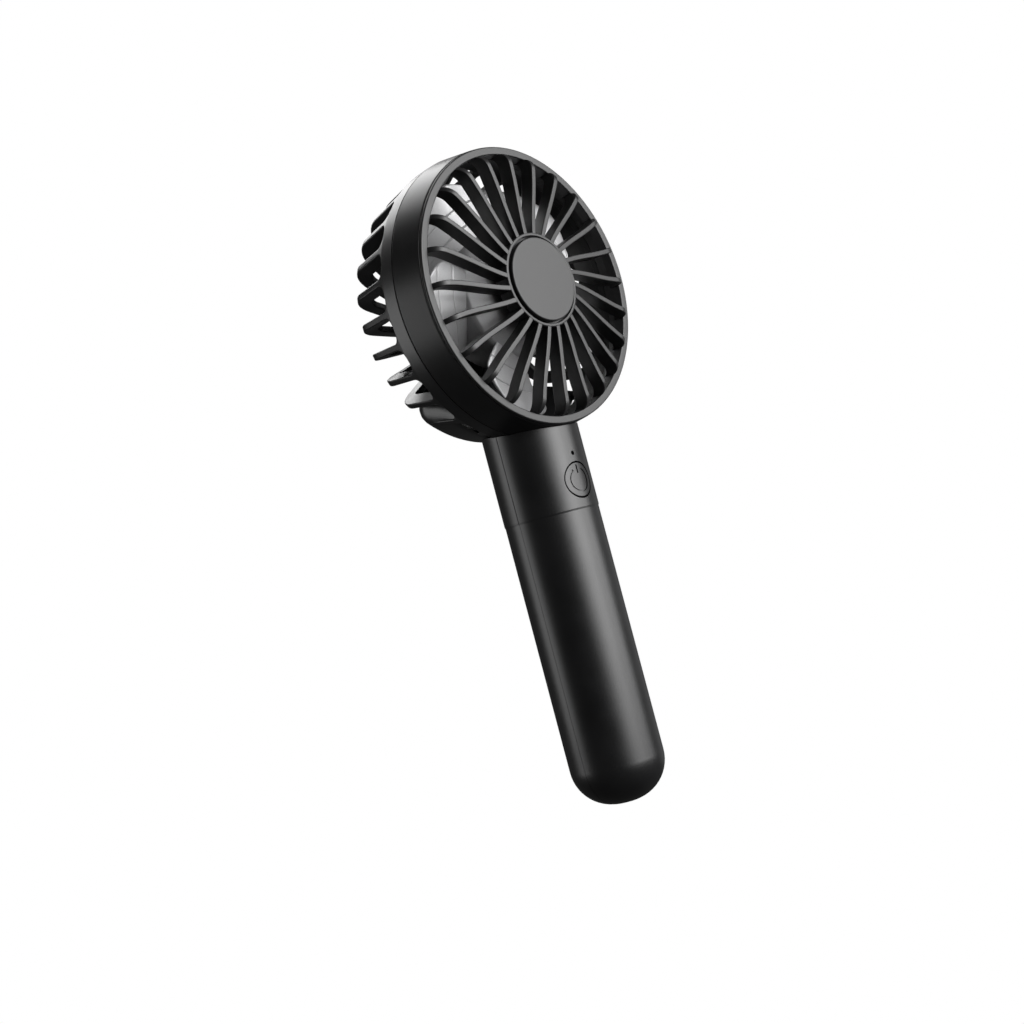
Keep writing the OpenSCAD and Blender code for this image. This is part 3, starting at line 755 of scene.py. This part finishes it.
def blade_half(s, v, low, high):
    """Half the blade's thickness, thinning to nothing round its free edges."""
    chord = 20 + 20 * s
    inside = min((v - low) * chord, (high - v) * chord, (1 - s) * (BLADE_TIP_R - BLADE_ROOT_R))
    near = 1 - min(inside / 1.2, 1)
    return BLADE_T / 2 * math.sqrt(max(0, 1 - near * near))


def blade_stations():
    """Fractions from root to tip, close together at the grooves and at the tip."""
    span = BLADE_TIP_R - BLADE_ROOT_R
    stations = {round(1 - (1 - i / 26) ** 1.35, 4) for i in range(27)}
    for g in GROOVES:
        for step in (-GROOVE_HALF, -0.17, 0, 0.17, GROOVE_HALF):
            stations.add(round((g + step - BLADE_ROOT_R) / span, 4))
    return sorted(stations)


def blade():
    """One blade: two curved faces that meet at their free edges, with a flat end inside the hub."""
    across = blade_stations()
    along = [0.5 - 0.5 * math.cos(math.pi * j / 36) for j in range(37)]
    points = []
    for side in (-1, 1):
        for s in across:
            corner = max(0, (s - 0.86) / 0.14)
            low = 0.34 * max(0, (s - 0.45) / 0.55) ** 1.4
            high = 1 - 0.12 * (1 - math.sqrt(max(0, 1 - corner * corner)))
            for v in along:
                w = low + (high - low) * v
                points.append(blade_point(s, w, side * blade_half(s, w, low, high)))
    n = len(along)
    half = len(across) * n
    faces = []
    for side in (0, 1):
        for i in range(len(across) - 1):
            for j in range(n - 1):
                a = side * half + i * n + j
                faces.append((a, a + 1, a + n + 1, a + n))
    root = [j for j in range(n)] + [half + j for j in range(n - 2, 0, -1)]
    faces.append(tuple(root))
    return link("blade", points, faces, on_head)


def impeller():
    """The hub and its blades as one solid; each blade is the first one turned about the head's axis."""
    hub = lathe("impeller", rounded([
        (0, 3.6, 0), (12.2, 3.6, 4), (20.75, 9.1, 2.5), (21, 12, 0), (21, 23.3, 0.3), (19.6, 23.3, 0.3),
        (19.6, 11, 0.5), (14.8, 7.6, 0.5), (14.8, 15, 0.2), (13.45, 15, 0.2), (13.45, 6.3, 0.3),
        (1.005, 6.3, 0), (1.005, 4.9, 0), (0, 4.9, 0)]), segments=192)
    one = blade()
    blades = []
    for i in range(BLADES):
        copy = bpy.data.objects.new("blade", one.data.copy())
        bpy.context.scene.collection.objects.link(copy)
        a = -2 * math.pi * i / BLADES
        for v in copy.data.vertices:
            x = v.co.x
            z = v.co.z - HEAD.z * MM
            v.co.x = x * math.cos(a) + z * math.sin(a)
            v.co.z = -x * math.sin(a) + z * math.cos(a) + HEAD.z * MM
        blades.append(copy)
    bpy.data.objects.remove(one)
    combine(hub, joined(blades), "UNION")
    shade(hub, 38)
    piece(hub, "blade", "rotor", "blade_silver", "impeller")


# ---- handle ----

BOTTOM_ROUND = 13
BUTTON_R = 5.6
BUTTON_GAP = 0.15
FAR = 40
BELOW = -80
ABOVE = 120
GRIP_TOP = HEAD.z - 72
HANDLE_WALL = 2
INNER_R = HANDLE_R - HANDLE_WALL
SCREW_X = 7.5


def quarter(r, radius, bottom):
    """A handle end's rounded corner, from the middle of the bottom to the side."""
    steps = 14
    arc = [(r - radius + radius * math.sin(t), bottom + radius - radius * math.cos(t))
           for t in [math.pi / 2 * i / steps for i in range(steps + 1)]]
    return [(0, bottom)] + arc


def handle_solid():
    """The handle's whole wall, with its top cut to the head's shape."""
    top = HEAD.z - 38
    outside = quarter(GRIP_R, BOTTOM_ROUND, HANDLE_BOTTOM)
    outside += [(GRIP_R, GRIP_TOP), (HANDLE_R, GRIP_TOP + 0.6), (HANDLE_R, top)]
    inside = quarter(INNER_R, BOTTOM_ROUND - HANDLE_WALL, HANDLE_BOTTOM + HANDLE_WALL) + [(INNER_R, top)]
    solid = lathe("handle", outside + list(reversed(inside)), on_part, 256, "z")
    gap = 0.15
    outline = [(0, 1.15 - gap), (45.1 + gap, 1.15 - gap), (SEAM_R + gap, 11.9), (46.05 + gap, 17.7),
               (43.4 + gap, 30), (43 + gap, 32.5), (40, 37), (0, 37 + gap)]
    combine(solid, lathe("envelope", outline), "DIFFERENCE")
    return solid


def block(low, high):
    """A plain box, only ever used to cut or to trim with."""
    x0, y0, z0 = low
    x1, y1, z1 = high
    loops = [[(x0, y0, z), (x1, y0, z), (x1, y1, z), (x0, y1, z)] for z in (z0, z1)]
    return loft("block", loops, on_part)


def round_cut(x, z, outline, segments):
    """A turned solid along the depth, at (x, z), from (radius, depth) points."""
    return lathe("round_cut", outline, lambda p: on_part((p[0] + x, p[1], p[2] + z)), segments)


def slot_cut(half_w, half_t, z0, z1, grow):
    """A stadium-shaped cutter for the socket's mouth, flared by grow at its lower end."""
    loops = []
    for z, g in ((z0, grow), (z0 + 1.0 + grow, 0), (z1, 0)):
        loop = []
        for side in (1, -1):
            for k in range(17):
                t = math.radians(-90 + 180 * k / 16)
                loop.append((side * (half_w - half_t + (half_t + g) * math.cos(t)),
                             side * (half_t + g) * math.sin(t), z))
        loops.append(loop)
    return loft("slot", loops, on_part)


def true_normals(thing):
    """Gives faces on the handle's round surface the round surface's own normals."""
    mesh = thing.data
    mesh.polygons.foreach_set("use_smooth", [True] * len(mesh.polygons))
    mesh.set_sharp_from_angle(angle=math.radians(32))
    normals = [Vector(n.vector) for n in mesh.corner_normals]
    for face in mesh.polygons:
        for k in face.loop_indices:
            p = mesh.vertices[mesh.loops[k].vertex_index].co / MM
            flat = Vector((p.x, p.y, 0))
            if flat.length < 1e-6:
                continue
            true = flat.normalized()
            low = HANDLE_BOTTOM + BOTTOM_ROUND
            if p.z < low:
                arm = Vector((flat.length - (GRIP_R - BOTTOM_ROUND), p.z - low))
                if arm.x < 0 or abs(arm.length - BOTTOM_ROUND) > 0.03:
                    continue
                arm.normalize()
                true = true * arm.x + Vector((0, 0, arm.y))
            elif not GRIP_R - 0.06 < flat.length < HANDLE_R + 0.01:
                continue
            if face.normal.dot(true) > 0.985:
                normals[k] = true
    mesh.normals_split_custom_set(normals)


def parting_slot():
    """A thin slot round the handle where its two shells meet, which doesn't cut through."""
    depth = 0.3
    half_width = 0.06
    outside = quarter(GRIP_R + 1, BOTTOM_ROUND + 1, HANDLE_BOTTOM - 1) + [(GRIP_R + 1, ABOVE)]
    bottom = quarter(GRIP_R - depth, BOTTOM_ROUND - depth, HANDLE_BOTTOM + depth)
    bottom.append((GRIP_R - depth, ABOVE))
    slot = lathe("slot", outside + list(reversed(bottom)), on_part, 128, "z")
    combine(slot, block((-FAR, -half_width, BELOW), (FAR, half_width, ABOVE)), "INTERSECT")
    return slot


def handle_shells():
    """The handle's two halves, which meet at its middle, with the front's openings and the rear's bosses."""
    front = handle_solid()
    rear = front.copy()
    rear.data = front.data.copy()
    bpy.context.scene.collection.objects.link(rear)
    for shell, name, y0, y1 in ((front, "handle_front_shell", 0, FAR), (rear, "handle_rear_shell", -FAR, 0)):
        shell.name = name
        combine(shell, block((-FAR, y0, BELOW), (FAR, y1, ABOVE)), "DIFFERENCE")
        for side in (-1, 1):
            groove = [[(side * (HANDLE_R - 0.16), 0, z), (side * (HANDLE_R + 0.3), -0.4, z),
                       (side * (HANDLE_R + 0.3), 0.4, z)] for z in (BELOW, ABOVE)]
            combine(shell, loft("groove", groove, on_part), "DIFFERENCE")
        combine(shell, parting_slot(), "DIFFERENCE")
        combine(shell, slot_cut(4.62, 1.75, HANDLE_BOTTOM - 1, HANDLE_BOTTOM + 4, 0.55), "DIFFERENCE")
    hole = BUTTON_R + BUTTON_GAP
    edge = [(0, -20), (hole + 0.3, -20), (hole + 0.2, -15.6), (hole, -13.6), (hole, -8), (0, -8)]
    combine(front, round_cut(0, BUTTON_Z, edge, 128), "DIFFERENCE")
    light_hole = [(0, -20), (0.9, -20), (0.7, -15.3), (0.7, -8), (0, -8)]
    combine(front, round_cut(0, LED_Z, light_hole, 32), "DIFFERENCE")
    for x in (-SCREW_X, SCREW_X):
        boss = round_cut(x, SCREW_Z, [(0, 14), (2.9, 14), (2.9, 0.1), (0, 0.1)], 48)
        within = lathe("within", [(0, SCREW_Z - 5), (HANDLE_R - 0.8, SCREW_Z - 5),
                                  (HANDLE_R - 0.8, SCREW_Z + 5), (0, SCREW_Z + 5)], on_part, 128, "z")
        combine(boss, within, "INTERSECT")
        combine(rear, boss, "UNION")
        recess = [(0, 20), (2.5, 20), (2.1, 13.4), (2.1, 8), (1.1, 8), (1.1, -1), (0, -1)]
        combine(rear, round_cut(x, SCREW_Z, recess, 48), "DIFFERENCE")
    for shell, node in ((front, "handle_front_shell"), (rear, "handle_rear_shell")):
        true_normals(shell)
        piece(shell, "grip", "frame", "shell_black", node)


def power_button():
    """The button's face follows the handle's curve, with the mark cut into it."""
    r = BUTTON_R
    edge = 0.35
    outer = HANDLE_R - 0.05
    rings = []
    for i in range(1, 9):
        rings.append(((r - edge) * i / 8, 0))
    for k in range(1, 5):
        q = math.radians(90 * k / 4)
        rings.append((r - edge + edge * math.sin(q), edge * (1 - math.cos(q))))
    points = [(0, -outer, BUTTON_Z)]
    segments = 128
    for ring, sink in rings:
        for k in range(segments):
            t = 2 * math.pi * k / segments
            x = ring * math.cos(t)
            points.append((x, -math.sqrt(outer ** 2 - x ** 2) + sink, BUTTON_Z + ring * math.sin(t)))
    for ring, y in ((r, -11.3), (6.5, -11.3), (6.5, -10.6), (1.5, -10.6), (1.5, -9.92)):
        for k in range(segments):
            t = 2 * math.pi * k / segments
            points.append((ring * math.cos(t), y, BUTTON_Z + ring * math.sin(t)))
    faces = [(0, 1 + k, 1 + (k + 1) % segments) for k in range(segments)]
    for i in range(len(rings) + 4):
        for k in range(segments):
            m = (k + 1) % segments
            a = 1 + i * segments
            faces.append((a + k, a + m, a + segments + m, a + segments + k))
    last = 1 + (len(rings) + 4) * segments
    faces.append(tuple(range(last, last + segments)))
    button = link("power_button", points, faces, on_part)
    combine(button, power_mark(outer), "DIFFERENCE")
    true_normals(button)
    piece(button, "grip", "button", "shell_black", "power_button")


def power_mark(outer):
    """A generic open ring with a stem, as a thin cutter that follows the handle's curve."""
    depth = 0.3
    half = 0.32
    strips = []
    ring = 3.7
    gap = math.radians(28)
    steps = 72
    arc = [math.pi / 2 + gap + (2 * math.pi - 2 * gap) * i / steps for i in range(steps + 1)]
    strips.append([((ring - half) * math.cos(t), (ring - half) * math.sin(t),
                    (ring + half) * math.cos(t), (ring + half) * math.sin(t)) for t in arc])
    stem = [2.1 + 2.75 * i / 6 for i in range(7)]
    strips.append([(-half, z, half, z) for z in stem])
    low = outer - depth
    high = outer + 1
    solids = []
    for strip in strips:
        loops = []
        for x0, z0, x1, z1 in strip:
            corners = ((x0, z0, low), (x1, z1, low), (x1, z1, high), (x0, z0, high))
            loops.append([(x, -math.sqrt(r * r - x * x), BUTTON_Z + z) for x, z, r in corners])
        solids.append(loft("mark", loops, on_part))
    return joined(solids)


def light_pipe():
    """The status light's window, its tip sunk in the hole."""
    tip = -HANDLE_R + 0.9
    profile = rounded([(0, tip, 0), (0.65, tip + 0.12, 0.2), (0.65, -13.2, 0), (1.1, -13.2, 0.15),
                       (1.1, -6.42, 0.15), (0, -6.42, 0)])
    pipe = lathe("light_pipe", profile, lambda p: on_part((p[0], p[1], p[2] + LED_Z)), 48)
    shade(pipe)
    piece(pipe, "lens", "frame", "lens", "light_pipe")


# ---- inside pieces that keep their CAD shape ----

INSIDE = {
    "steel": ["rotor_bell", "motor_shaft", "retaining_ring", "motor_base", "front_bearing", "rear_bearing",
              "motor_screws", "neck_screws", "handle_screws", "pcb_screws", "battery_tabs",
              "usb_c_receptacle", "stator_core"],
    "magnet": ["magnet_ring"],
    "copper": ["stator_windings"],
    "board": ["motor_pcb", "main_pcb", "charge_pcb"],
    "chip": ["tactile_switch", "control_chips", "power_inductor"],
    "white": ["wire_connectors", "status_led"],
    "shell": ["neck_bracket"],
    "wrap": ["battery_cell"],
    "cradle": ["battery_cradle"],
    "red": ["switch_plunger", "battery_leads"],
    "black_wire": ["motor_leads", "charge_leads"],
}


def inside_pieces():
    """Gives each inside piece its material."""
    for material, names in INSIDE.items():
        for name in names:
            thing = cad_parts[name]
            thing.data.materials.clear()
            thing.data.materials.append(MATERIALS[material])


def floor():
    """A plain pale disc well below the fan, as it is held in the air."""
    drop = 0.36
    r = 520
    profile = [(0, 0), (r, 0), (r, -6), (0, -6)]
    disc = lathe("floor", profile, lambda p: Vector((p[0], p[2], p[1])) * MM, 96)
    disc.location.z = -drop
    m = Nodes("floor", (0.8, 0.8, 0.79), 0.7)
    m.to(m.ramp(m.noise(14, 3), [(0.3, (0.79, 0.79, 0.78)), (0.7, (0.82, 0.82, 0.81))]), "Base Color")
    disc.data.materials.append(m.material)
    disc.visible_glossy = False
    disc.visible_diffuse = False


add_camera()
add_lights()
add_world()
front_grille()
hub_badge()
front_band()
rear_grille()
rear_cap()
impeller()
handle_shells()
power_button()
light_pipe()
inside_pieces()
floor()
